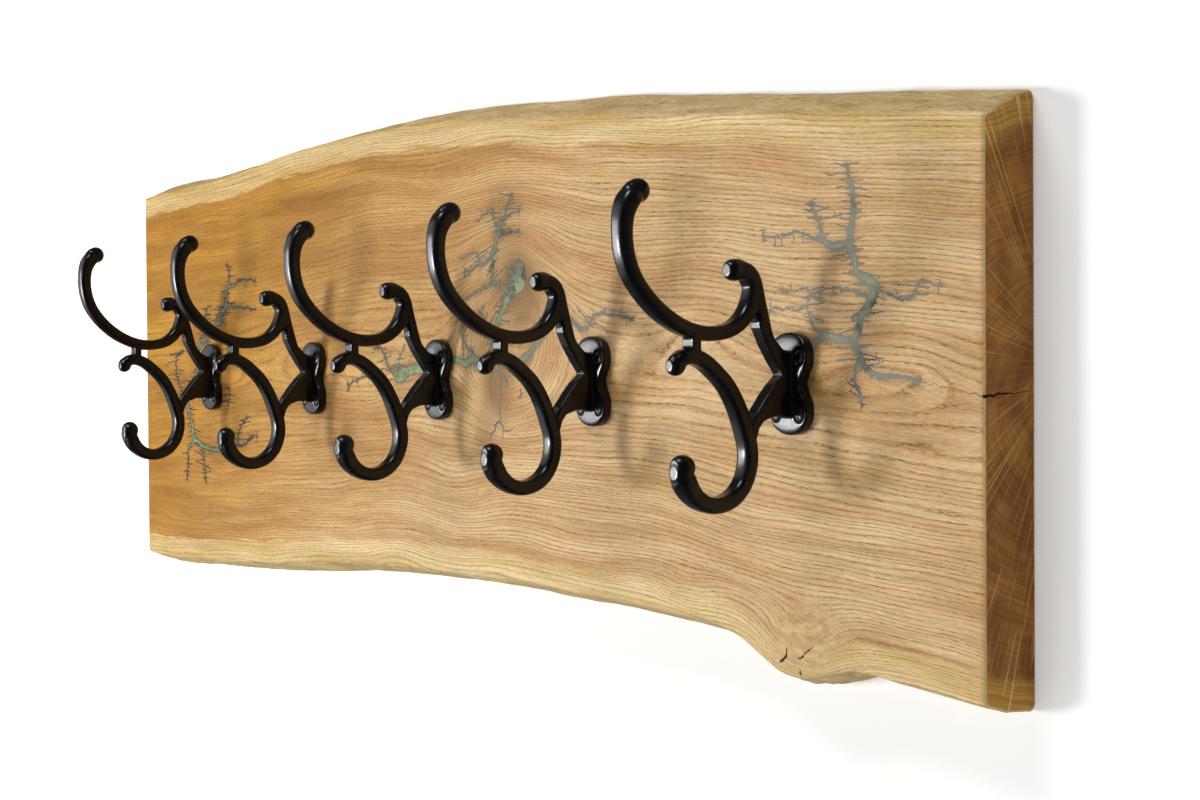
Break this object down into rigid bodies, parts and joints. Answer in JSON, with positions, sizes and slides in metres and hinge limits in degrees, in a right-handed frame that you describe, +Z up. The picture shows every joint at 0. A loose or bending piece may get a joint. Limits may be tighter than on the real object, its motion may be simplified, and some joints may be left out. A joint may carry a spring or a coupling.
{
  "type": "wall coat rack",
  "caption": "Wall coat rack: waney-edged oak slab with a row of black cast iron triple hooks, resin-filled burn figures and keyhole plates let into the back.",
  "frame": {"origin": "centre of the slab's back face, on the wall plane", "axes": "+X along the slab to the right as seen from the room, +Y into the wall, +Z up; the hooks stand out towards -Y"},
  "size_m": [1, 0.1407, 0.3296],
  "materials": {
    "oak_board": "satin oiled oak",
    "green_resin": "clear grey-green cast resin",
    "dark_resin": "black cast resin",
    "black_iron": "gloss black paint on a casting",
    "black_screw": "black coated steel",
    "zinc_plate": "bright zinc plate",
    "zinc_screw": "bright zinc plate"
  },
  "bodies": {
    "root": {"board": "oak_board", "crack_fill": "dark_resin", "resin_inlay_upper_left": "green_resin", "resin_inlay_lower_left": "green_resin", "resin_inlay_centre": "green_resin", "resin_inlay_right": "green_resin", "hook_1": "black_iron", "hook_2": "black_iron", "hook_3": "black_iron", "hook_4": "black_iron", "hook_5": "black_iron", "hook_1_screw_top_left": "black_screw", "hook_1_screw_top_right": "black_screw", "hook_1_screw_bottom_left": "black_screw", "hook_1_screw_bottom_right": "black_screw", "hook_2_screw_top_left": "black_screw", "hook_2_screw_top_right": "black_screw", "hook_2_screw_bottom_left": "black_screw", "hook_2_screw_bottom_right": "black_screw", "hook_3_screw_top_left": "black_screw", "hook_3_screw_top_right": "black_screw", "hook_3_screw_bottom_left": "black_screw", "hook_3_screw_bottom_right": "black_screw", "hook_4_screw_top_left": "black_screw", "hook_4_screw_top_right": "black_screw", "hook_4_screw_bottom_left": "black_screw", "hook_4_screw_bottom_right": "black_screw", "hook_5_screw_top_left": "black_screw", "hook_5_screw_top_right": "black_screw", "hook_5_screw_bottom_left": "black_screw", "hook_5_screw_bottom_right": "black_screw", "keyhole_plate_left": "zinc_plate", "keyhole_plate_right": "zinc_plate", "keyhole_plate_left_screw_top": "zinc_screw", "keyhole_plate_left_screw_bottom": "zinc_screw", "keyhole_plate_right_screw_top": "zinc_screw", "keyhole_plate_right_screw_bottom": "zinc_screw"}
  },
  "joints": []
}
